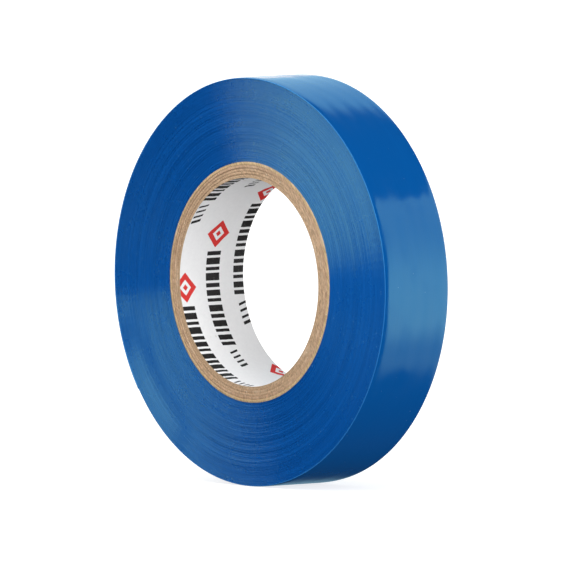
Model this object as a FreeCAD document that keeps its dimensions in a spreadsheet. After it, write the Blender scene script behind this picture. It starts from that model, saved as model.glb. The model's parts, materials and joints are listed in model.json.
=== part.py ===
"""Roll of PVC insulating tape, standing on its rim.

A strip of tape is wound on a cardboard core.  The core is a slice of a spiral-wound
tube: a printed paper liner inside and kraft board plies round it, each ply one
strip whose edges meet in a slanting seam.  The tape is modelled as the tightly wound
turns, the outermost turn, and its free end, which peels off in short lengths.

Frame: millimetres, +Z up, the roll's axis along Y, origin on the axis at mid width.
Angles round the roll start at +X and grow towards +Z, the way the tape is wound.
"""
import FreeCAD, Part
import math
import os

SIZES = {
    # the tape
    "tape_width": 15.0,
    "tape_pitch": 0.14,          # from one turn to the next, film and adhesive
    "adhesive_depth": 0.03,      # the free end's film stands this far off the turn below
    "outer_radius": 36.73,       # outer face where the outermost turn starts
    "end_tip_angle": 215.0,      # where the cut end of the tape lies
    "end_length_angle": 48.0,    # how much of the outermost turn peels off
    # the core
    "core_width": 15.3,
    "bore_radius": 18.75,
    "liner_depth": 0.15,
    "ply_depth": 0.55,
    "seam_gap": 0.1,
    "seam_slope": 34.0,          # of the seams, from the way round the core
    "first_seam_angle": 20.0,
    "seam_step_angle": 137.5,    # each ply's seam is turned this far from the last
}
PLY_NAMES = ("inner", "second", "middle", "fourth", "outer")
END_LENGTHS = 4                  # short lengths of the free end

doc = FreeCAD.newDocument("TapeRoll")


def write_sheet():
    """Puts the driving dimensions in a spreadsheet, one named cell each."""
    cells = doc.addObject("Spreadsheet::Sheet", "Sizes")
    for row, (name, value) in enumerate(SIZES.items(), start=1):
        cells.set(f"A{row}", name)
        cells.set(f"B{row}", str(value))
        cells.setAlias(f"B{row}", name)
    doc.recompute()
    return cells


sheet = write_sheet()


def size(expression):
    """An expression on the sheet's cells, with each cell's alias given its sheet."""
    for name in SIZES:
        expression = expression.replace(name, f"Sizes.{name}")
    return expression


def cylinder(name, radius, height, sweep="360"):
    """A cylinder, or the part of one within an angle, about the piece's own Z."""
    made = doc.addObject("Part::Cylinder", name)
    made.setExpression("Radius", size(radius))
    made.setExpression("Height", size(height))
    made.setExpression("Angle", size(sweep))
    return made


def cut(name, base, tool):
    made = doc.addObject("Part::Cut", name)
    made.Base = base
    made.Tool = tool
    return made


def common(name, base, tool):
    made = doc.addObject("Part::Common", name)
    made.Base = base
    made.Tool = tool
    return made


def stand_up(piece, angle, width):
    """Turns a piece built about its own Z so that it lies about Y, its X at that angle."""
    turn = FreeCAD.Rotation(0, -angle, 90)
    piece.Placement = FreeCAD.Placement(FreeCAD.Vector(0, width / 2, 0), turn)


def seam(name, inner, outer):
    """The slanting gap between a strip's edges: a thin plate through one wall only."""
    plate = doc.addObject("Part::Box", f"{name}_plate")
    plate.setExpression("Length", size(f"{outer} - {inner} / 2"))
    plate.setExpression("Width", size("4 * core_width"))
    plate.setExpression("Height", size("seam_gap"))
    plate.setExpression(".Placement.Base.x", size(f"{inner} / 2 + 1"))
    plate.setExpression(".Placement.Base.y", size("-2 * core_width"))
    plate.setExpression(".Placement.Base.z", size("-seam_gap / 2"))
    slanted = doc.addObject("Part::Compound", f"{name}_slanted")
    slanted.Links = [plate]
    lean = FreeCAD.Rotation(FreeCAD.Vector(1, 0, 0), sheet.seam_slope)
    slanted.Placement = FreeCAD.Placement(FreeCAD.Vector(0, 0, 0), lean)
    slanted.setExpression(".Placement.Rotation.Angle", size("seam_slope"))
    slanted.setExpression(".Placement.Base.z", size("core_width / 2"))
    return slanted


def core_strip(label, inner, outer, order):
    """One strip of the core, rolled into a tube whose edges meet in a seam."""
    body = cylinder(f"{label}_body", outer, "core_width")
    hollow = cylinder(f"{label}_hollow", inner, "core_width")
    tube = cut(f"{label}_tube", body, hollow)
    strip = cut(f"{label}_strip", tube, seam(label, inner, outer))
    strip.Label = label
    seam_angle = sheet.first_seam_angle + order * sheet.seam_step_angle
    stand_up(strip, seam_angle, sheet.core_width)
    return strip


def build_core():
    """The printed liner and the kraft plies, from the bore outwards."""
    liner_outer = "(bore_radius + liner_depth)"
    strips = [core_strip("core_liner", "bore_radius", liner_outer, 0)]
    for order, word in enumerate(PLY_NAMES, start=1):
        inner = f"({liner_outer} + {order - 1} * ply_depth)"
        outer = f"({liner_outer} + {order} * ply_depth)"
        strips.append(core_strip(f"core_ply_{word}", inner, outer, order))
    return strips


CORE_OUTER = f"(bore_radius + liner_depth + {len(PLY_NAMES)} * ply_depth)"


def spiral_disc(name, start_radius):
    """A disc whose edge is one turn of the tape's spiral.

    Two half discs make it, with their straight sides together.  The second is half a
    pitch larger and its centre stands half a pitch towards the tip, so that the
    edge runs on smoothly and ends one pitch further out than it started.
    """
    first = cylinder(f"{name}_first", start_radius, "tape_width", "180")
    second = cylinder(f"{name}_second", f"{start_radius} + tape_pitch / 2", "tape_width", "180")
    half_turn = FreeCAD.Rotation(FreeCAD.Vector(0, 0, 1), 180)
    second.Placement = FreeCAD.Placement(FreeCAD.Vector(0, 0, 0), half_turn)
    second.setExpression(".Placement.Base.x", size("tape_pitch / 2"))
    disc = doc.addObject("Part::MultiFuse", name)
    disc.Shapes = [first, second]
    return disc


def sector(name, start, sweep):
    """A tall slice of a disc, wider than the roll, from one angle round through another."""
    slice_of = cylinder(name, "2 * outer_radius", "tape_width", sweep)
    about_axis = FreeCAD.Rotation(FreeCAD.Vector(0, 0, 1), 1)
    slice_of.Placement = FreeCAD.Placement(FreeCAD.Vector(0, 0, 0), about_axis)
    slice_of.setExpression(".Placement.Rotation.Angle", size(start))
    return slice_of


def tape_piece(label, shape):
    shape.Label = label
    stand_up(shape, sheet.end_tip_angle, sheet.tape_width)
    return shape


def build_tape():
    """The wound turns, the outermost turn and the lengths of its free end."""
    wound = spiral_disc("wound_disc", "(outer_radius - tape_pitch)")
    core_hole = cylinder("core_hole", CORE_OUTER, "tape_width")
    pieces = [tape_piece("tape_wound_turns", cut("wound_turns", wound, core_hole))]

    top = spiral_disc("top_disc", "outer_radius")
    stuck_ring = cut("stuck_ring", top, wound)
    stuck_part = sector("stuck_sector", "0", "360 - end_length_angle")
    pieces.append(tape_piece("tape_outer_turn", common("outer_turn", stuck_ring, stuck_part)))

    below = spiral_disc("below_disc", "(outer_radius - tape_pitch + adhesive_depth)")
    film_ring = cut("film_ring", top, below)
    for number in range(1, END_LENGTHS + 1):
        start = f"360 - end_length_angle * {END_LENGTHS - number + 1} / {END_LENGTHS}"
        share = sector(f"end_sector_{number}", start, f"end_length_angle / {END_LENGTHS}")
        length = common(f"end_length_{number}", film_ring, share)
        pieces.append(tape_piece(f"tape_end_{number}", length))
    return pieces


def check_and_export(pieces):
    """Stops on any failed object or bad solid, then writes one STEP file for each piece."""
    doc.recompute()
    failed = [o.Name for o in doc.Objects if "Invalid" in o.State or "Error" in o.State]
    if failed:
        raise RuntimeError(f"these objects failed: {failed}")
    for piece in pieces:
        shape = piece.Shape
        if shape.isNull() or not shape.isValid() or len(shape.Solids) != 1:
            raise RuntimeError(f"{piece.Label} is not one valid solid")
    os.makedirs("parts", exist_ok=True)
    for piece in pieces:
        piece.Shape.exportStep(f"parts/{piece.Label}.step")
        print(f"{piece.Label}: {piece.Shape.Volume:.2f} mm3")


def print_hinges():
    """Where each length of the free end hinges: on the tape's outer face, where it starts.

    There the tape lies on the spiral's second half disc, so the point is where the ray
    at that angle meets that half disc's edge.
    """
    offset = sheet.tape_pitch / 2
    radius = sheet.outer_radius + offset
    for number in range(1, END_LENGTHS + 1):
        before_tip = sheet.end_length_angle * (END_LENGTHS - number + 1) / END_LENGTHS
        angle = math.radians(sheet.end_tip_angle - before_tip)
        lead = math.radians(before_tip)
        reach = offset * math.cos(lead) + math.sqrt(radius**2 - (offset * math.sin(lead)) ** 2)
        print(f"hinge {number}: x {reach * math.cos(angle):.4f} z {reach * math.sin(angle):.4f} mm")


def main():
    pieces = build_core() + build_tape()
    check_and_export(pieces)
    print_hinges()


main()
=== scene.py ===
# %% [markdown]
# # A roll of insulating tape
#
# A roll of PVC tape is one long strip of glossy blue film, wound on a slice of a
# spiral-wound cardboard tube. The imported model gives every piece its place, so the
# first step is to load it and keep its box.
#
# Everything is in metres. The roll's axis is Y, its front face looks along -Y, and it
# stands on its rim with +Z up. Angles round the roll start at +X and grow towards +Z.

# %% Load the frame
import json
import math
import bmesh
import bpy
import numpy as np
from mathutils import Matrix, Vector


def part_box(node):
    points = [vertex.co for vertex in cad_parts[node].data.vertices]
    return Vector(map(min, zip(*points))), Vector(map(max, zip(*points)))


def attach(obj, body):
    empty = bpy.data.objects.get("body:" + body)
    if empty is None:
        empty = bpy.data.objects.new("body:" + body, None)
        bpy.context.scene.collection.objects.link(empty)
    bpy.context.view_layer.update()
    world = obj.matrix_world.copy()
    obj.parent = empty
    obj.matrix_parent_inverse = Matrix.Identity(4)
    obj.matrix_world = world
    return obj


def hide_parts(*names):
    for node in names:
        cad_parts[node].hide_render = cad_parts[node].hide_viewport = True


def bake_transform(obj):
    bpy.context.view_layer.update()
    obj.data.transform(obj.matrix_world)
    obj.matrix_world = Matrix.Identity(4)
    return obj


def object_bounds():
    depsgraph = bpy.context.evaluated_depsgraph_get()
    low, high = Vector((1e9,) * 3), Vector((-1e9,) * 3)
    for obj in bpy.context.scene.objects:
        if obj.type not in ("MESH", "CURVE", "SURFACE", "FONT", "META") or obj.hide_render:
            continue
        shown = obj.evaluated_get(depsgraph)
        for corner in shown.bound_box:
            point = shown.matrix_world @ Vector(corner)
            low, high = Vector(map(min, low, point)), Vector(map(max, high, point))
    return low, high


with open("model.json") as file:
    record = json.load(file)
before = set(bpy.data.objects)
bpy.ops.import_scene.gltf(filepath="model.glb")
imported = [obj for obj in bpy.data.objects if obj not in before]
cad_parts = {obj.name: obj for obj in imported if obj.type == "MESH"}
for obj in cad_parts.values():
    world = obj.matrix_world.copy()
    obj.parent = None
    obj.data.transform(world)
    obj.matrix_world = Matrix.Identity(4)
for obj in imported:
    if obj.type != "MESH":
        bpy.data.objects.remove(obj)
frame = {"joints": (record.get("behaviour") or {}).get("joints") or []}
cad_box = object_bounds()
MM = 0.001
print("box of the packed model:", cad_box)

# %% [markdown]
# ## Measures
#
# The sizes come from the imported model. The outer turn starts at the cut end, so the
# roll's lowest point gives its radius there. Three thicknesses are too thin to read from
# a box: a turn of tape, which is also the spiral's pitch, the adhesive's share of it, and
# the liner's paper. TIP is the angle of the cut end, and the hinges say where the free
# end lifts.

# %% Read the sizes
PITCH = 0.14 * MM
ADHESIVE = 0.03 * MM
PAPER = 0.15 * MM
FRONT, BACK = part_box("tape_wound_turns")[0].y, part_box("tape_wound_turns")[1].y
OUTER = -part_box("tape_outer_turn")[0].z
CORE_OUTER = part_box("core_ply_outer")[1].x
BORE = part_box("core_liner")[1].x - PAPER
CORE_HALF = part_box("core_liner")[1].y
FLOOR = cad_box[0][2]
TIP = 215.0
PLIES = ("core_ply_inner", "core_ply_second", "core_ply_middle", "core_ply_fourth", "core_ply_outer")
HINGES = [Vector(j["pos_m"]) for j in frame["joints"]]
HINGE_ANGLES = [math.degrees(math.atan2(h.z, h.x)) % 360 for h in HINGES]
TURNS = round((OUTER - CORE_OUTER) / PITCH)
print(f"outer {OUTER / MM:.2f} mm, core {CORE_OUTER / MM:.2f} mm, bore {BORE / MM:.2f} mm, {TURNS} turns")
print("hinges at", [round(a, 1) for a in HINGE_ANGLES], "degrees")

# %% [markdown]
# ## Surfaces from numbers
#
# Every piece here is a profile carried round the roll's axis, so one helper can make
# them all. It takes a grid of points, one row for each step round the roll and one
# column for each point of the profile, and joins neighbours with four-sided faces. The
# two lists of marks become the UV map: how far round, and how far along the profile.

# %% A mesh from a grid of points
def grid_piece(name, points, round_marks, profile_marks, full_turn):
    """A closed skin over a grid of points, rows round the roll by columns round the profile.

    The profile always closes on itself. The rows close too when full_turn is true;
    otherwise the first and the last profile become end caps.
    """
    rows, columns = points.shape[:2]
    i, j = np.meshgrid(np.arange(rows if full_turn else rows - 1), np.arange(columns), indexing="ij")
    next_i, next_j = (i + 1) % rows, (j + 1) % columns
    quads = np.stack([i * columns + j, next_i * columns + j,
                      next_i * columns + next_j, i * columns + next_j], -1).reshape(-1, 4)
    corner_u = np.stack([i, i + 1, i + 1, i], -1).reshape(-1)
    corner_v = np.stack([j, j, j + 1, j + 1], -1).reshape(-1)
    uv = np.stack([np.asarray(round_marks)[corner_u], np.asarray(profile_marks)[corner_v]], -1)
    faces = quads.tolist()
    if not full_turn:
        ends = np.array([[0], [rows - 1]]) * columns + np.arange(columns)
        faces += ends.tolist()
        end_u = np.repeat([round_marks[0], round_marks[rows - 1]], columns)
        uv = np.concatenate([uv, np.stack([end_u, np.tile(profile_marks[:columns], 2)], -1)])
    mesh = bpy.data.meshes.new(name)
    mesh.from_pydata(points.reshape(-1, 3).tolist(), [], faces)
    mesh.uv_layers.new(name="strip").data.foreach_set("uv", uv.astype(np.float32).reshape(-1))
    skin = bmesh.new()
    skin.from_mesh(mesh)
    bmesh.ops.recalc_face_normals(skin, faces=skin.faces)
    skin.to_mesh(mesh)
    skin.free()
    mesh.polygons.foreach_set("use_smooth", np.ones(len(mesh.polygons), bool))
    mesh.set_sharp_from_angle(angle=math.radians(50))
    piece = bpy.data.objects.new(name, mesh)
    bpy.context.scene.collection.objects.link(piece)
    print(f"{name}: {len(mesh.vertices)} points, {len(mesh.polygons)} faces")
    return piece


def around(radius, along, angle):
    """Points at those radii, places along the axis and angles in degrees round the roll."""
    turn = np.radians(angle)
    radius, along, turn = np.broadcast_arrays(radius, along, turn)
    return np.stack([radius * np.cos(turn), along, radius * np.sin(turn)], -1)


def lengths(profile):
    """How far along the profile each of its points is, with one more mark where it closes."""
    closed = np.concatenate([profile, profile[:1]])
    return np.concatenate([[0], np.cumsum(np.linalg.norm(np.diff(closed, axis=0), axis=1))])

# %% [markdown]
# ## The spiral
#
# Wound tape is a spiral: after a full turn its surface is one pitch further out. The
# model draws it with two half circles, and the skins have to lie on the same curve. The
# film also bends down a little towards both of its cut edges, which is why a bright
# window mirrored in the rim stops short of the edge.

# %% Radius of the rim and the droop of its shoulders
def rim_radius(start, angle):
    """Radius of a turn that starts with this radius at the cut end.

    For half a turn it is constant. Over the other half the circle is half a pitch
    larger and its centre stands half a pitch off the axis, towards the cut end.
    """
    past_tip = np.radians(np.asarray(angle, float) - TIP)
    shift = PITCH / 2
    second = shift * np.cos(past_tip) + np.sqrt((start + shift) ** 2 - (shift * np.sin(past_tip)) ** 2)
    return np.where(np.sin(past_tip) >= -1e-9, start, second)


SHOULDER_WIDTH, SHOULDER_DROP = 1.35 * MM, 0.09 * MM


def droop(along):
    """How far the film has bent inwards: none at mid width, growing as a power near each edge."""
    from_edge = (BACK - np.abs(along)) / SHOULDER_WIDTH
    return SHOULDER_DROP * np.clip(1 - from_edge, 0, 1) ** 2.4


def ripple(angle, along, seed):
    """Slow waves in tightly stretched film, from 0 to 1: a sum of sines round and across."""
    wave = np.random.default_rng(seed)
    total = np.zeros(np.broadcast(angle, along).shape)
    for _ in range(14):
        round_count, across = wave.integers(3, 26), wave.uniform(-500, 500)
        total += np.sin(np.radians(angle) * round_count + along * across + wave.uniform(0, 6.28)) / 14
    return 0.5 + total

print(f"the film droops {droop(BACK) / MM:.2f} mm at its edge")

# %% [markdown]
# ## The wound turns
#
# The roll's flat faces are the cut edges of about a hundred turns, and no two turns lie
# exactly level. Bump mapping could suggest that, but real steps also catch the light
# at the rim of the core and in the outline. So each turn gets its own ring of points,
# and its cut edge leans: the slitting knife leaves it a little lower on its outer side.
# Low on the left the outer turns have been pushed over, and lean the other way. A slow
# drift between groups of turns makes the broad bands, and a little wobble round the roll
# keeps the rings from looking turned on a lathe.

# %% Height of every turn on a face
STEP, DRIFT, WOBBLE = 0.012, 0.022, 0.008


def face_relief(turn_count, angles, seed):
    """How far inside the face's plane each turn lies, rows round the roll by columns of turns.

    It is the sum of a random step for each turn, a slow drift from turn to turn, and
    a few waves round the roll whose size also drifts. All three are in millimetres.
    """
    chance = np.random.default_rng(seed)
    step = chance.uniform(0, 1, turn_count)
    window = np.hanning(15) / np.hanning(15).sum()
    drift = [np.convolve(chance.normal(0, 1, turn_count + 14), window, "valid") for _ in range(7)]
    height = STEP * step + DRIFT * drift[0]
    turn = np.radians(angles)[:, None]
    for k in range(1, 4):
        height = height + WOBBLE * (drift[2 * k - 1] * np.cos(k * turn) + drift[2 * k] * np.sin(k * turn))
    return (height - height.min()) * MM

# %% The stack of wound turns
LEAN = 0.040 * MM
BULGE_ANGLE, BULGE_WIDTH = 218.0, 24.0
TURN_SHARES = (0.08, 0.86)
UNDER_FILM, INSET, HOLE_INSET = 0.02 * MM, 0.004 * MM, 0.05 * MM


def turn_stack():
    """The wound turns as one skin: front face, rim, back face and the hole for the core.

    A turn has two points on each face, at TURN_SHARES of its thickness. One of them lies
    lower by the turn's lean, the outer one where the lean is positive and the inner one
    where it is negative. The lean differs from turn to turn, and changes sign where the
    bulge, a flat-topped bell of the angle that grows with the radius, is near 1.
    """
    angles = np.arange(0, 360, 2.25)
    stuck = rim_radius(OUTER - PITCH, angles)[:, None]
    across = np.linspace(FRONT, BACK, 30)
    share = (np.repeat(np.arange(TURNS - 1), 2) + np.tile(TURN_SHARES, TURNS - 1)) / (TURNS - 1)
    edge = stuck - SHOULDER_DROP - UNDER_FILM
    radii = CORE_OUTER + share * (edge - CORE_OUTER)
    uneven = np.random.default_rng(13).uniform(0.4, 1.6, TURNS - 1)
    outwards = np.clip((np.arange(TURNS - 1) / TURNS - 0.35) / 0.4, 0, 1)
    bulge = np.exp(-((angles - BULGE_ANGLE) / BULGE_WIDTH) ** 4)[:, None] * outwards
    lean = LEAN * uneven * (1 - 1.7 * bulge)
    groove = np.stack([np.maximum(-lean, 0), np.maximum(lean, 0)], -1).reshape(len(angles), -1)
    front = np.repeat(face_relief(TURNS - 1, angles, 11), 2, axis=1) + groove
    back = np.repeat(face_relief(TURNS - 1, angles, 12), 2, axis=1) + groove
    rim = stuck - droop(across) - INSET
    one = np.ones_like(stuck)
    radius = np.hstack([one * CORE_OUTER, radii, rim, radii[:, ::-1], one * CORE_OUTER])
    along = np.hstack([one * (FRONT + HOLE_INSET), FRONT + front, one * across,
                       (BACK - back)[:, ::-1], one * (BACK - HOLE_INSET)])
    along = np.clip(along, FRONT, BACK)
    points = around(radius, along, angles[:, None])
    marks = lengths(np.stack([radius[0], along[0]], -1))
    return grid_piece("turn_stack", points, np.linspace(0, 1, len(angles) + 1), marks / (10 * MM), True)


stack = turn_stack()

# %% [markdown]
# ## The outermost turn and the free end
#
# The outermost turn is a strip of film, so its skin has a thickness and two cut ends.
# Near the end it lifts in four short lengths. Rigid lengths would open like a folding
# rule, with sharp corners, so each piece of skin is laid across a hinge. It reaches only a
# few degrees past the hinge: a longer bend would first dip into the roll, because the
# points before a hinge swing inwards. The last piece carries the cut end.

# %% Strips of film
EDGE_ROUNDING, WAVE = 0.070 * MM, 0.010 * MM
CLEARANCE, GLUE_LINE = 0.002 * MM, 0.012 * MM


def film_strip(name, first, last, under, seed=5):
    """A strip of film between two angles, its outer side on the spiral and `under` thick.

    The profile runs across the outer side, down over a rounded edge, back across the
    inner side and up again. Each place across has the droop of its shoulder, and slow
    waves lower the outer side, by half of WAVE on average and not at all at its edges.
    """
    steps = max(int(abs(last - first) / 0.75), 8)
    angles = np.linspace(first, last, steps + 1)
    edge = EDGE_ROUNDING
    share = 0.5 * (1 - np.cos(np.linspace(0, np.pi, 41)))
    across = FRONT + edge + (BACK - FRONT - 2 * edge) * share
    rounding = np.radians([15, 45, 75])
    outer_y = np.concatenate([[FRONT + edge * (1 - math.cos(a)) for a in rounding],
                              across, [BACK - edge * (1 - math.cos(a)) for a in rounding[::-1]]])
    rounded = edge * (1 - np.sin(rounding))
    outer_drop = np.concatenate([rounded, 0 * across, rounded[::-1]]) + droop(outer_y) + CLEARANCE
    inner_y = np.linspace(BACK, FRONT, 19)
    inner_drop = droop(inner_y) + under
    along = np.concatenate([outer_y, inner_y])
    drop = np.concatenate([outer_drop, inner_drop])
    wave = WAVE * ripple(angles[:, None], outer_y, seed) * np.clip((BACK - np.abs(outer_y)) / MM, 0, 1)
    points = around(rim_radius(OUTER, angles)[:, None] - drop, along, angles[:, None])
    lowered = around(wave, outer_y * 0, angles[:, None])
    points[:, :len(outer_y)] -= lowered
    run = np.radians(angles) * OUTER
    marks = lengths(np.stack([-drop, along], -1))
    return grid_piece(name, points, run / (10 * MM), marks / (10 * MM), False)


BEND, PAST_BEND, END_GAP = 2.5, 1.0, 0.05
cuts = [HINGE_ANGLES[0] - BEND - PAST_BEND] + [hinge + BEND + PAST_BEND for hinge in HINGE_ANGLES]
top_turn = film_strip("top_turn", TIP - 360 + END_GAP, cuts[0], PITCH - GLUE_LINE)

# %% Lengths of the free end, each across a hinge
FREE_BODIES = ["roll"] + [j["child"] for j in frame["joints"]]
end_lengths = []
for number, (first, last) in enumerate(zip(cuts[:-1], cuts[1:]), start=1):
    end_lengths.append(film_strip(f"end_length_{number}", first, last, PITCH - ADHESIVE))
end_lengths.append(film_strip("end_length_5", cuts[-1], TIP, PITCH - ADHESIVE))

# %% [markdown]
# ## The core
#
# A core like this is sliced from a tube that is wound from strips of kraft board, with a
# printed paper strip inside. Each strip's two edges meet in a slanting seam. A saw
# leaves the plies at slightly different heights and rounds their edges, and that shows
# as fine rings in the cut face. The skins are strips again, sheared so that their
# ends follow the seam.

# %% Strips of the core
SEAM_SLOPE, FIRST_SEAM, NEXT_SEAM = 34.0, 20.0, 137.5
CORE_LEAN = math.tan(math.radians(13))
GLUE_GAP, CORNER, SAW_WAVER = 0.006 * MM, 0.05 * MM, 0.012 * MM


def core_strip(name, inner, outer, seam_angle, set_back, seed):
    """A strip rolled into a tube, from one edge of its seam round to the other.

    A rectangle with rounded corners is carried round. Its cut faces lean, lower on
    their outer side. The further back a point lies, the less far round it is, so that
    both ends slant. set_back is how far each cut face lies inside the core's plane, and
    it wavers as a saw cut does.
    """
    angles = np.linspace(0.15, 359.85, 241)
    half = CORE_HALF - set_back
    corner = min(CORNER, 0.3 * (outer - inner))
    bend = np.radians([8, 45, 82])
    short, low = corner * (1 - np.cos(bend)), corner * (1 - np.sin(bend))
    wall = np.linspace(-0.9, 0.9, 9) * half
    front_r = np.concatenate([inner + low[::-1], outer - low])
    front_y = np.concatenate([short[::-1], short]) + (front_r - inner) * CORE_LEAN - half
    radial = np.concatenate([front_r, 0 * wall + outer, front_r[::-1], 0 * wall + inner])
    profile = np.stack([radial, np.concatenate([front_y, wall, -front_y[::-1], -wall])], -1)
    chance = np.random.default_rng(seed)
    waver = sum(chance.normal(0, SAW_WAVER) * np.cos(np.radians(angles * k) + chance.uniform(0, 6.28))
                for k in range(1, 9))
    near_face = np.clip((np.abs(profile[:, 1]) / half - 0.9) / 0.1, 0, 1)
    along = profile[:, 1] - np.sign(profile[:, 1]) * near_face * np.abs(waver)[:, None]
    shear = np.degrees(-profile[:, 1] / math.tan(math.radians(SEAM_SLOPE)) / profile[:, 0])
    points = around(profile[:, 0], along, seam_angle + angles[:, None] + shear)
    return grid_piece(name, points, angles / 360, lengths(profile) / (10 * MM), False)


ply_depth = (CORE_OUTER - BORE - PAPER) / len(PLIES)
liner = core_strip("liner_sheet", BORE, BORE + PAPER, FIRST_SEAM, 0.0, 30)
plies = []
for order in range(1, len(PLIES) + 1):
    inner = BORE + PAPER + (order - 1) * ply_depth
    set_back = (0.03 + 0.03 * (order % 2)) * MM
    plies.append(core_strip(f"ply_sheet_{order}", inner + GLUE_GAP, inner + ply_depth - GLUE_GAP,
                            FIRST_SEAM + order * NEXT_SEAM, set_back, 30 + order))
print("core strips:", 1 + len(plies))

# %% [markdown]
# ## The skins take the nodes' places
#
# A skin stands for the CAD node that it covers, and that node is hidden. The roll's own
# skins ride on the roll's body. The first four lengths of the free end stay where they
# were made, on no body, and only the last length rides, on the free end's last body.

# %% Ride and replace
def on_spiral(angle):
    """The point at mid width where the rim lies at this angle."""
    return around(rim_radius(OUTER, angle), 0.0, angle)


for piece, node in [(stack, "tape_wound_turns"), (top_turn, "tape_outer_turn"), (liner, "core_liner"),
                    *zip(plies, PLIES)]:
    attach(piece, "roll")
    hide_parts(node)
for number, (piece, hinge) in enumerate(zip(end_lengths, HINGE_ANGLES)):
    on_spiral(hinge - BEND)
    on_spiral(hinge + BEND)
    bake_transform(piece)
    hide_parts(f"tape_end_{number + 1}")
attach(end_lengths[-1], FREE_BODIES[-1])
print("free end:", " then ".join(FREE_BODIES))

# %% [markdown]
# ## Building materials from nodes
#
# Materials are graphs of small nodes. A few short helpers keep them readable: one adds a
# node and wires its inputs, and the others do arithmetic, mix two colours, fade between
# two levels and read noise. An effect that several materials share is a node group, made
# once and placed where it is needed.

# %% Helpers for node graphs
def add(tree, kind, inputs=None, **settings):
    """A node of that kind. An input is either another node's output, which is linked, or a value."""
    node = tree.nodes.new(kind)
    for name, value in settings.items():
        setattr(node, name, value)
    for key, value in (inputs or {}).items():
        if isinstance(value, bpy.types.NodeSocket):
            tree.links.new(value, node.inputs[key])
        else:
            node.inputs[key].default_value = value
    return node


def calc(tree, operation, *numbers):
    """One step of arithmetic on numbers or outputs."""
    return add(tree, "ShaderNodeMath", dict(enumerate(numbers)), operation=operation).outputs[0]


def mix(tree, share, first, second):
    """The first colour where share is 0, the second where it is 1."""
    node = add(tree, "ShaderNodeMix", {0: share, 6: first, 7: second}, data_type="RGBA")
    return node.outputs[2]


def fade(tree, value, low, high):
    """0 below low, 1 above high, and a smooth step between."""
    node = add(tree, "ShaderNodeMapRange", {0: value, 1: low, 2: high, 3: 0.0, 4: 1.0},
               interpolation_type="SMOOTHSTEP")
    return node.outputs[0]


def noise(tree, vector, scale, detail=2.0, rough=0.5):
    """Cloudy noise about 0.5, with that many finer layers added."""
    return add(tree, "ShaderNodeTexNoise", {"Vector": vector, "Scale": scale, "Detail": detail,
                                           "Roughness": rough}).outputs[0]


def new_group(name, inputs, outputs):
    """An empty node group with those sockets, and its two end nodes."""
    tree = bpy.data.node_groups.new(name, "ShaderNodeTree")
    for socket, kind in inputs.items():
        tree.interface.new_socket(socket, in_out="INPUT", socket_type=kind)
    for socket, kind in outputs.items():
        tree.interface.new_socket(socket, in_out="OUTPUT", socket_type=kind)
    return tree, add(tree, "NodeGroupInput").outputs, add(tree, "NodeGroupOutput").inputs


def place(tree, group, inputs):
    """Puts a node group in a material with this material's own values, and gives its outputs."""
    return add(tree, "ShaderNodeGroup", inputs, node_tree=group).outputs


def new_material(name, **fixed):
    """A material with a Principled BSDF whose named sockets hold these fixed values."""
    material = bpy.data.materials.new(name)
    material.use_nodes = True
    tree = material.node_tree
    tree.nodes.clear()
    shader = add(tree, "ShaderNodeBsdfPrincipled", {k.replace("_", " "): v for k, v in fixed.items()})
    out = add(tree, "ShaderNodeOutputMaterial")
    tree.links.new(shader.outputs[0], out.inputs[0])
    return material, tree, shader.inputs


print("helpers ready")

# %% [markdown]
# ## Two shared effects
#
# Dust settles on everything in a workshop, and a sticky cut edge holds it best: small
# pale specks, few and uneven in size. Handling leaves faint cloudy marks that change how
# sharp a reflection is. Both are groups, used by the film, the board and the paper.

# %% Dust and handling marks
FLOAT, VECTOR = "NodeSocketFloat", "NodeSocketVector"

dust_inputs = {"Vector": VECTOR, "Scale": FLOAT, "Amount": FLOAT}
dust_group, given, result = new_group("dust", dust_inputs, {"Specks": FLOAT})
spots = {"Vector": given["Vector"], "Scale": given["Scale"]}
cells = add(dust_group, "ShaderNodeTexVoronoi", spots, feature="F1")
chosen = fade(dust_group, add(dust_group, "ShaderNodeSeparateColor", {0: cells.outputs["Color"]}).outputs[0],
              calc(dust_group, "SUBTRACT", 1.0, given["Amount"]), 1.0)
size = calc(dust_group, "MULTIPLY", chosen, 0.32)
speck = calc(dust_group, "GREATER_THAN", size, cells.outputs["Distance"])
dust_group.links.new(calc(dust_group, "MULTIPLY", speck, chosen), result["Specks"])

handling_inputs = {"Vector": VECTOR, "Scale": FLOAT, "Clean": FLOAT, "Marked": FLOAT}
handling_group, given, result = new_group("handling_marks", handling_inputs, {"Roughness": FLOAT})
cloud = noise(handling_group, given["Vector"], given["Scale"], 4.0, 0.6)
share = fade(handling_group, cloud, 0.42, 0.68)
spread = calc(handling_group, "SUBTRACT", given["Marked"], given["Clean"])
marked = calc(handling_group, "MULTIPLY_ADD", share, spread, given["Clean"])
handling_group.links.new(marked, result["Roughness"])
print("groups:", dust_group.name, "and", handling_group.name)

# %% Lay them on a material
def soil(tree, surface, vector, colour, dust, handling):
    """Lays dust over a colour, lets handling change the gloss, and wires both to the shader.

    dust is its scale, amount, cover and colour. handling is its scale and the roughness
    of clean and of marked places. The specks come back, so that relief can use them.
    """
    scale, amount, cover, dust_colour = dust
    specks = place(tree, dust_group, {"Vector": vector, "Scale": scale, "Amount": amount})["Specks"]
    dusty = mix(tree, calc(tree, "MULTIPLY", specks, cover), colour, dust_colour)
    tree.links.new(dusty, surface["Base Color"])
    scale, clean, marked = handling
    cloudy = {"Vector": vector, "Scale": scale, "Clean": clean, "Marked": marked}
    tree.links.new(place(tree, handling_group, cloudy)["Roughness"], surface["Roughness"])
    return specks


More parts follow.
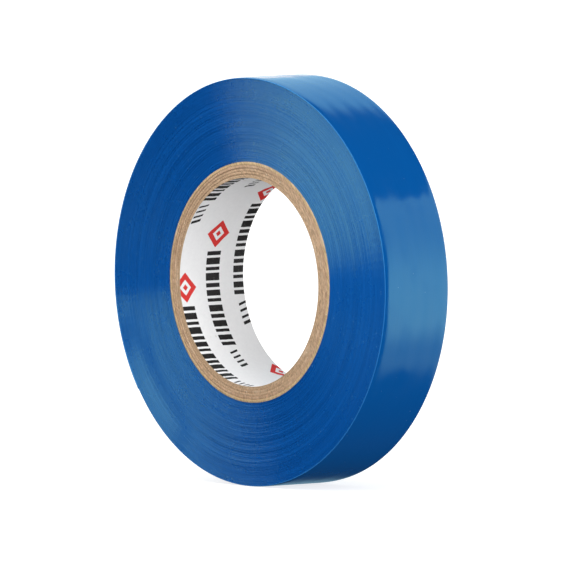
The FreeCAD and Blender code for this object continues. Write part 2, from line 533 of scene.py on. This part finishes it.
def emboss(tree, surface, height, distance, strength=1.0):
    """Tilts the shading as if the surface rose by the height times the distance."""
    bump = add(tree, "ShaderNodeBump", {"Strength": strength, "Distance": distance, "Height": height})
    tree.links.new(bump.outputs[0], surface["Normal"])

# %% [markdown]
# ## Winding coordinates
#
# Lines that run round the roll need coordinates that do too. From a point's place this
# group works out its distance from the axis and its direction, and hands back the
# direction stretched a little and the distance stretched a lot. Noise read there becomes
# long thin streaks along each turn, with no join where the angle starts again.

# %% A group for streaks along the turns
def from_axis(tree, parts):
    """Distance from the roll's axis: the root of the sum of the squares of X and Z."""
    squares = [calc(tree, "MULTIPLY", part, part) for part in (parts[0], parts[2])]
    return calc(tree, "SQRT", calc(tree, "ADD", *squares))


winding_group, given, result = new_group(
    "winding_coordinates", {"Vector": VECTOR, "Round": FLOAT, "Outward": FLOAT}, {"Vector": VECTOR})
parts = add(winding_group, "ShaderNodeSeparateXYZ", {0: given["Vector"]}).outputs
radius = from_axis(winding_group, parts)
side = calc(winding_group, "MULTIPLY", calc(winding_group, "DIVIDE", parts[0], radius), given["Round"])
height = calc(winding_group, "MULTIPLY", calc(winding_group, "DIVIDE", parts[2], radius), given["Round"])
outward = calc(winding_group, "MULTIPLY", radius, given["Outward"])
joined = add(winding_group, "ShaderNodeCombineXYZ", {0: side, 1: outward, 2: height}).outputs[0]
winding_group.links.new(joined, result["Vector"])
print("group:", winding_group.name)

# %% [markdown]
# ## Blue film, cut edges
#
# The faces are the cut edges of the film. Each is a fine groove that runs round the
# roll, so light spreads outwards from the axis and gathers into two pale fans, as on a
# record. Anisotropy makes that: its tangent comes from the UV map, whose first
# coordinate runs round the roll, and a quarter turn makes the wide direction radial.
# Noise on the winding coordinates adds the turns' own shades and fine lines.

# %% Material for the roll's faces
face_film, tree, film = new_material(
    "film_cut_edges", Roughness=0.33, Anisotropic=1.0, Anisotropic_Rotation=0.25,
    IOR=1.6, Specular_IOR_Level=0.75, Specular_Tint=(0.45, 1.0, 0.38, 1))
place_in = add(tree, "ShaderNodeTexCoord").outputs["Object"]
fine = place(tree, winding_group, {"Vector": place_in, "Round": 2.0, "Outward": 9000.0})
broad = place(tree, winding_group, {"Vector": place_in, "Round": 0.7, "Outward": 1400.0})
fine_lines = noise(tree, fine["Vector"], 1.0, 2.0)
bands = noise(tree, broad["Vector"], 1.0, 3.0)
shade = calc(tree, "ADD", calc(tree, "MULTIPLY", fine_lines, 0.55), calc(tree, "MULTIPLY", bands, 0.45))
blue = mix(tree, fade(tree, shade, 0.32, 0.7), (0.0012, 0.082, 0.35, 1), (0.0035, 0.106, 0.43, 1))
specks = soil(tree, film, place_in, blue, dust=(2600.0, 0.05, 0.5, (0.10, 0.30, 0.60, 1)),
              handling=(120.0, 0.27, 0.34))
short = place(tree, winding_group, {"Vector": place_in, "Round": 26.0, "Outward": 6000.0})
streaks = noise(tree, short["Vector"], 1.0, 2.0, 0.6)
lines_height = calc(tree, "MULTIPLY_ADD", specks, 0.3, calc(tree, "MULTIPLY_ADD", fine_lines, 0.35, streaks))
emboss(tree, film, lines_height, 0.022 * MM)
tangent = add(tree, "ShaderNodeTangent", direction_type="UV_MAP", uv_map="strip")
tree.links.new(tangent.outputs[0], film["Tangent"])
print("material:", face_film.name)

# %% [markdown]
# ## Blue film, outer side
#
# The outer side is calendered PVC under tension: glossy enough to mirror a window, but
# slightly rippled along the strip. A paler blue along both edges is a painted highlight,
# where the rounded edge catches the light. The strip's own UV map runs along the tape, in
# centimetres, so the ripples stay on the film when the free end lifts.

# %% Material for the film's outer side
rim_film, tree, film = new_material("film_outer_side", Roughness=0.12, Specular_IOR_Level=0.80,
                                    Specular_Tint=(0.33, 1.0, 0.80, 1))
strip = add(tree, "ShaderNodeUVMap", uv_map="strip").outputs[0]
along_tape = add(tree, "ShaderNodeMapping", {"Vector": strip, "Scale": (1.0, 3.6, 1.0)}).outputs[0]
hair_lines = add(tree, "ShaderNodeMapping", {"Vector": strip, "Scale": (0.8, 60.0, 1.0)}).outputs[0]
swell = noise(tree, along_tape, 1.0, 0.0, 0.45)
lines = noise(tree, hair_lines, 1.0, 3.0)
across = add(tree, "ShaderNodeSeparateXYZ", {0: add(tree, "ShaderNodeTexCoord").outputs["Object"]}).outputs[1]
to_edge = calc(tree, "DIVIDE", calc(tree, "ABSOLUTE", across), BACK)
# Painted highlight: the blue turns paler within the last hundredths of the width at each edge, where the
# rounded edge catches the light.
painted_edge_highlight = fade(tree, to_edge, 0.986, 0.997)
tone = mix(tree, lines, (0.0008, 0.080, 0.315, 1), (0.0016, 0.094, 0.365, 1))
blue = mix(tree, calc(tree, "MULTIPLY", painted_edge_highlight, 0.8), tone, (0.035, 0.23, 0.62, 1))
soil(tree, film, strip, blue, dust=(26.0, 0.008, 0.35, (0.2, 0.35, 0.6, 1)), handling=(1.6, 0.10, 0.20))
emboss(tree, film, calc(tree, "MULTIPLY_ADD", lines, 0.02, swell), 0.07 * MM)
print("material:", rim_film.name)

# %% [markdown]
# ## Kraft board
#
# Sawn kraft board is a mat of short fibres seen end on: warm brown with darker and
# paler flecks. Each ply is a slightly different batch, so a function makes one material
# for each tone. The thin dark glue lines need no paint: they are the gaps between plies.

# %% Material for the plies
def kraft(name, tone, seed):
    """Sawn kraft board: one tone, darker and paler along the fibres, with flecks and clouds over it."""
    board, tree, surface = new_material(name, Roughness=0.9, Specular_IOR_Level=0.2)
    place_in = add(tree, "ShaderNodeTexCoord").outputs["Object"]
    shift = {"Vector": place_in, "Location": (seed * 0.013, 0, seed * 0.007)}
    moved = add(tree, "ShaderNodeMapping", shift).outputs[0]
    wound = place(tree, winding_group, {"Vector": moved, "Round": 45.0, "Outward": 5200.0})["Vector"]
    fibre = noise(tree, wound, 1.0, 4.0, 0.7)
    fleck = noise(tree, moved, 2600.0, 3.0, 0.7)
    cloud = noise(tree, moved, 330.0, 2.0)
    dark, pale = (tuple(share * part for part in tone) + (1,) for share in (0.66, 1.24))
    base = mix(tree, fade(tree, fibre, 0.34, 0.66), dark, pale)
    base = mix(tree, calc(tree, "MULTIPLY", fade(tree, fleck, 0.56, 0.75), 0.65), base, (0.30, 0.17, 0.10, 1))
    base = mix(tree, calc(tree, "MULTIPLY", fade(tree, cloud, 0.5, 0.8), 0.35), base, (0.86, 0.68, 0.50, 1))
    soil(tree, surface, moved, base, dust=(1900.0, 0.10, 0.5, (0.9, 0.8, 0.66, 1)),
         handling=(200.0, 0.82, 0.95))
    emboss(tree, surface, calc(tree, "ADD", fibre, fleck), 0.06 * MM, strength=0.7)
    return board


TONES = [(0.56, 0.39, 0.25), (0.52, 0.355, 0.225), (0.57, 0.395, 0.255),
         (0.53, 0.355, 0.23), (0.60, 0.43, 0.245)]
boards = [kraft(f"kraft_board_{number}", tone, number) for number, tone in enumerate(TONES, start=1)]
print("materials:", [board.name for board in boards])

# %% [markdown]
# ## The printed liner
#
# The paper inside the core is printed in staggered rows: a red diamond, a run of heavy
# black bars of uneven width and a few thin slanting ones, three times round. All of it
# is worked out from two numbers, how far round the bore a point lies and how far along
# the axis. Heights are in millimetres, and widths in degrees round the bore. A colour
# ramp with hard steps is the shortest way to say where bars begin and end. Ink lies only
# on the paper's inner side, and its cut edges are bare brown fibre.

# %% Ink masks
paper, tree, surface = new_material("printed_paper", Roughness=0.62, Specular_IOR_Level=0.2)
place_in = add(tree, "ShaderNodeTexCoord").outputs["Object"]
parts = add(tree, "ShaderNodeSeparateXYZ", {0: place_in}).outputs
angle = calc(tree, "DEGREES", calc(tree, "ARCTAN2", parts[2], parts[0]))
along = calc(tree, "DIVIDE", parts[1], MM)
ROW_PITCH, FIRST_ROW = 6.6, 0.2
REPEAT, STAGGER, MARK, MARK_ANGLE = 120.0, 30.0, 12.0, 156.0
MARK_HALF_WIDTH, MARK_HALF_HEIGHT, TALL, SHORT = 8.4, 2.6, 1.62, 1.0
row = calc(tree, "ROUND", calc(tree, "DIVIDE", calc(tree, "SUBTRACT", along, FIRST_ROW), ROW_PITCH))
across_row = calc(tree, "SUBTRACT", along, calc(tree, "MULTIPLY_ADD", row, ROW_PITCH, FIRST_ROW))
start = calc(tree, "MULTIPLY_ADD", row, STAGGER, calc(tree, "ADD", angle, 360.0 - MARK_ANGLE + MARK))
step = calc(tree, "MODULO", start, REPEAT)
off_middle = calc(tree, "ABSOLUTE", across_row)


def bars(widths, first, gap):
    """Where each bar starts and ends, in degrees past the start of the repeat."""
    edges, at = [], first
    for width in widths:
        edges += [at, at + width]
        at += width + gap
    return edges


def stripes(value, edges):
    """1 between each pair of edges and 0 elsewhere, along one repeat."""
    ramp = add(tree, "ShaderNodeValToRGB", {0: calc(tree, "DIVIDE", value, REPEAT)})
    stops = ramp.color_ramp
    stops.interpolation = "CONSTANT"
    stops.elements[0].color = (0, 0, 0, 1)
    stops.elements.remove(stops.elements[1])
    for number, edge in enumerate(edges):
        level = 1.0 - number % 2
        stops.elements.new(edge / REPEAT).color = (level, level, level, 1)
    return ramp.outputs[0]


block_edges = bars([2.2, 3.4, 1.9, 4.0, 2.2, 3.0, 2.0, 4.0, 2.2, 3.4, 2.0, 3.6, 2.2], MARK + 10.5, 1.55)
blocks = calc(tree, "MULTIPLY", stripes(step, block_edges), calc(tree, "LESS_THAN", off_middle, TALL))
leaning = calc(tree, "MULTIPLY_ADD", across_row, 0.9, step)
thin = stripes(leaning, bars([1.7, 1.7, 1.7, 1.7], block_edges[-1] + 4.0, 2.0))
thin = calc(tree, "MULTIPLY", thin, calc(tree, "LESS_THAN", off_middle, SHORT))
black = calc(tree, "MAXIMUM", blocks, thin)
past_mark = calc(tree, "DIVIDE", calc(tree, "ABSOLUTE", calc(tree, "SUBTRACT", step, MARK)), MARK_HALF_WIDTH)
diamond = calc(tree, "ADD", past_mark, calc(tree, "DIVIDE", off_middle, MARK_HALF_HEIGHT))
within = [calc(tree, "LESS_THAN", diamond, size) for size in (1.0, 0.52, 0.22)]
red = calc(tree, "ADD", calc(tree, "SUBTRACT", within[0], within[1]), within[2])
print("print repeats every", REPEAT, "degrees, rows", ROW_PITCH, "mm apart")

# %% Paper and ink
inside = calc(tree, "LESS_THAN", from_axis(tree, parts), BORE + 0.03 * MM)
fibre = noise(tree, place_in, 1500.0, 4.0, 0.65)
sheet = mix(tree, fibre, (0.80, 0.80, 0.81, 1), (0.90, 0.90, 0.90, 1))
worn = calc(tree, "MULTIPLY_ADD", fade(tree, noise(tree, place_in, 3200.0, 2.0), 0.30, 0.42), 0.03, 0.97)
cover = calc(tree, "MULTIPLY", calc(tree, "MULTIPLY", inside, worn), 0.99)
for ink, colour in ((black, (0.006, 0.005, 0.005, 1)), (red, (0.66, 0.024, 0.02, 1))):
    sheet = mix(tree, calc(tree, "MULTIPLY", ink, cover), sheet, colour)
cut = calc(tree, "GREATER_THAN", calc(tree, "ABSOLUTE", parts[1]), CORE_HALF - 0.06 * MM)
bare = calc(tree, "MAXIMUM", cut, calc(tree, "SUBTRACT", 1.0, inside))
sheet = mix(tree, bare, sheet, mix(tree, fibre, (0.40, 0.27, 0.16, 1), (0.62, 0.44, 0.27, 1)))
soil(tree, surface, place_in, sheet, dust=(900.0, 0.02, 0.4, (0.5, 0.45, 0.4, 1)),
     handling=(150.0, 0.55, 0.72))
emboss(tree, surface, fibre, 0.03 * MM, strength=0.3)
print("material:", paper.name)

# %% [markdown]
# ## Giving out the materials
#
# The wound turns need two of them: cut edges on the faces, and the film's outer side on
# the rim, which shows when the free end is lifted. How far a polygon lies from the axis
# decides it. The cut edges are shaded flat, so that each turn keeps the lean of its own.

# %% Assign materials
def dress(piece, slot, *materials):
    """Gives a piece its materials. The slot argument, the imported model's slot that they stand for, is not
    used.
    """
    for material in materials:
        piece.data.materials.append(material)


RIM_MARGIN = 0.015 * MM
dress(stack, "tape_film", face_film, rim_film)
centres = np.zeros(len(stack.data.polygons) * 3)
stack.data.polygons.foreach_get("center", centres)
centres = centres.reshape(-1, 3)
on_rim = np.hypot(centres[:, 0], centres[:, 2]) > OUTER - PITCH - SHOULDER_DROP - RIM_MARGIN
stack.data.polygons.foreach_set("material_index", on_rim.astype(np.int32))
stack.data.polygons.foreach_set("use_smooth", on_rim)
for piece in [top_turn] + end_lengths:
    dress(piece, "tape_film", rim_film)
for piece, board in zip(plies, boards):
    dress(piece, "core_board", board)
dress(liner, "core_paper", paper)
print("faces of the stack on its rim:", int(on_rim.sum()))

# %% [markdown]
# ## Studio
#
# The roll stands on a white sweep. Its faces are lit by a broad bright field in front
# and above. The rim is a mirror for what is behind it, and there a tall window, a card
# on the left and a dark gap between them draw the bands. Field, window and card are all
# painted in the sky, as smooth steps of the direction that a ray looks in. Four area
# lights, which no surface mirrors, fill in the matt board and paper. The floor is for
# the camera only, so that it doesn't fill the rim's underside with white.

# %% Sky
world = bpy.data.worlds.new("studio_field")
bpy.context.scene.world = world
world.use_nodes = True
tree = world.node_tree
tree.nodes.clear()
direction = add(tree, "ShaderNodeTexCoord").outputs["Generated"]
looking = add(tree, "ShaderNodeSeparateXYZ", {0: direction}).outputs


def product(*factors):
    """All the factors multiplied together."""
    total = factors[0]
    for factor in factors[1:]:
        total = calc(tree, "MULTIPLY", total, factor)
    return total


def falling(value, low, high):
    """1 below low, 0 above high, and a smooth step between."""
    return calc(tree, "SUBTRACT", 1.0, fade(tree, value, low, high))


front = product(fade(tree, looking[2], 0.06, 0.18), falling(looking[1], -0.15, 0.35),
                fade(tree, calc(tree, "MULTIPLY_ADD", looking[0], 1.2, looking[2]), -0.70, -0.48), 1.6)
pane = product(fade(tree, looking[0], 0.10, 0.20), fade(tree, looking[1], 0.585, 0.615),
               fade(tree, looking[2], -0.61, -0.55), falling(looking[2], 0.54, 0.57))
strong = product(fade(tree, looking[2], -0.48, -0.28),
                 calc(tree, "MULTIPLY_ADD", falling(looking[2], -0.05, 0.40), 0.7, 0.3))
window = product(pane, calc(tree, "MULTIPLY_ADD", strong, 1.25, 0.7))
left_side = product(falling(looking[0], -0.36, -0.18), fade(tree, looking[1], 0.2, 0.4))
from_horizon = calc(tree, "ABSOLUTE", calc(tree, "SUBTRACT", looking[2], 0.10))
left = product(left_side, fade(tree, looking[2], -0.45, -0.15), falling(looking[2], 0.64, 0.75),
               calc(tree, "MULTIPLY_ADD", falling(from_horizon, 0.02, 0.1), 0.35, 0.9),
               calc(tree, "MULTIPLY_ADD", fade(tree, looking[2], -0.12, 0.05), 0.55, 0.45))
field = calc(tree, "ADD", calc(tree, "ADD", front, window), calc(tree, "ADD", left, 0.03))
tint = mix(tree, product(left_side, fade(tree, from_horizon, 0.02, 0.1)), (1, 1, 1, 1), (0.55, 0.95, 1.18, 1))
seen = add(tree, "ShaderNodeLightPath").outputs["Is Camera Ray"]
strength = calc(tree, "ADD", seen, product(calc(tree, "SUBTRACT", 1.0, seen), field))
sky = add(tree, "ShaderNodeBackground", {"Color": mix(tree, seen, tint, (1, 1, 1, 1)), "Strength": strength})
tree.links.new(sky.outputs[0], add(tree, "ShaderNodeOutputWorld").inputs[0])
print("sky nodes:", len(tree.nodes))

# %% Lights
def fill_light(name, direction, distance, width, height, brightness):
    """An area light facing the roll from that direction, its brightness as a radiance."""
    data = bpy.data.lights.new(name, "AREA")
    data.shape, data.size, data.size_y = "RECTANGLE", width, height
    data.energy = brightness * math.pi * width * height
    light = bpy.data.objects.new(name, data)
    spot = Vector(direction).normalized()
    facing = spot.to_track_quat("Z", "Y").to_matrix().to_4x4()
    light.matrix_world = Matrix.Translation(spot * distance) @ facing
    light.visible_camera = False
    light.visible_glossy = False
    bpy.context.scene.collection.objects.link(light)
    print(f"{name}: {data.energy:.2f} W")


def compass(azimuth, elevation):
    """A direction from its angle round Z, from +X towards +Y, and its height above the horizon."""
    a, e = math.radians(azimuth), math.radians(elevation)
    return (math.cos(a) * math.cos(e), math.sin(a) * math.cos(e), math.sin(e))


fill_light("overhead", (0.45, -0.6, 1.0), 1.2, 1.0, 1.0, 1.02)
fill_light("side_fill", compass(-12, -20), 1.4, 1.2, 1.0, 1.85)
fill_light("low_fill", compass(-60, -35), 1.4, 1.0, 1.0, 1.12)
fill_light("back_fill", compass(62, -22), 1.4, 1.0, 1.0, 1.15)

# %% Floor
REACH, GAP = 3.0, 0.02 * MM
corners = [(x * REACH, y * REACH, FLOOR - GAP) for x, y in ((-1, -1), (1, -1), (1, 1), (-1, 1))]
floor_mesh = bpy.data.meshes.new("floor")
floor_mesh.from_pydata(corners, [], [(0, 1, 2, 3)])
floor = bpy.data.objects.new("floor", floor_mesh)
bpy.context.scene.collection.objects.link(floor)
sweep = new_material("white_sweep", Base_Color=(0.5, 0.5, 0.5, 1), Roughness=1.0, Specular_IOR_Level=0.0,
                     Emission_Color=(1, 1, 1, 1), Emission_Strength=0.8)[0]
floor_mesh.materials.append(sweep)
floor.visible_diffuse = False
floor.visible_glossy = False
floor.visible_shadow = False
print("floor at", round(FLOOR / MM, 2), "mm")

# %% [markdown]
# ## Camera
#
# The roll is seen from the front right, a little above level, through a very long lens:
# its far rim is drawn almost as large as its near rim. From four metres away the lens
# has to be about a metre and a half long.

# %% Long lens from the front right
AZIMUTH, ELEVATION, DISTANCE, LENS = 48.48, 3.84, 4.416, 1554.0
AIM_RIGHT, AIM_UP = 0.787 * MM, -0.830 * MM
a, e = math.radians(AZIMUTH), math.radians(ELEVATION)
towards = Vector((math.sin(a) * math.cos(e), -math.cos(a) * math.cos(e), math.sin(e)))
right = Vector((math.cos(a), math.sin(a), 0))
up = towards.cross(right)
aim = right * AIM_RIGHT + up * AIM_UP
lens = bpy.data.cameras.new("long_lens")
lens.lens, lens.sensor_width = LENS, 36.0
lens.clip_end = 50.0
camera = bpy.data.objects.new("camera", lens)
camera.matrix_world = Matrix.Translation(aim + towards * DISTANCE) @ Matrix(
    (right, up, towards)).transposed().to_4x4()
bpy.context.scene.collection.objects.link(camera)
bpy.context.scene.camera = camera
bpy.context.scene.view_settings.view_transform = "Standard"
bpy.context.scene.view_settings.look = "None"
print("camera at", tuple(round(c, 3) for c in camera.matrix_world.translation))
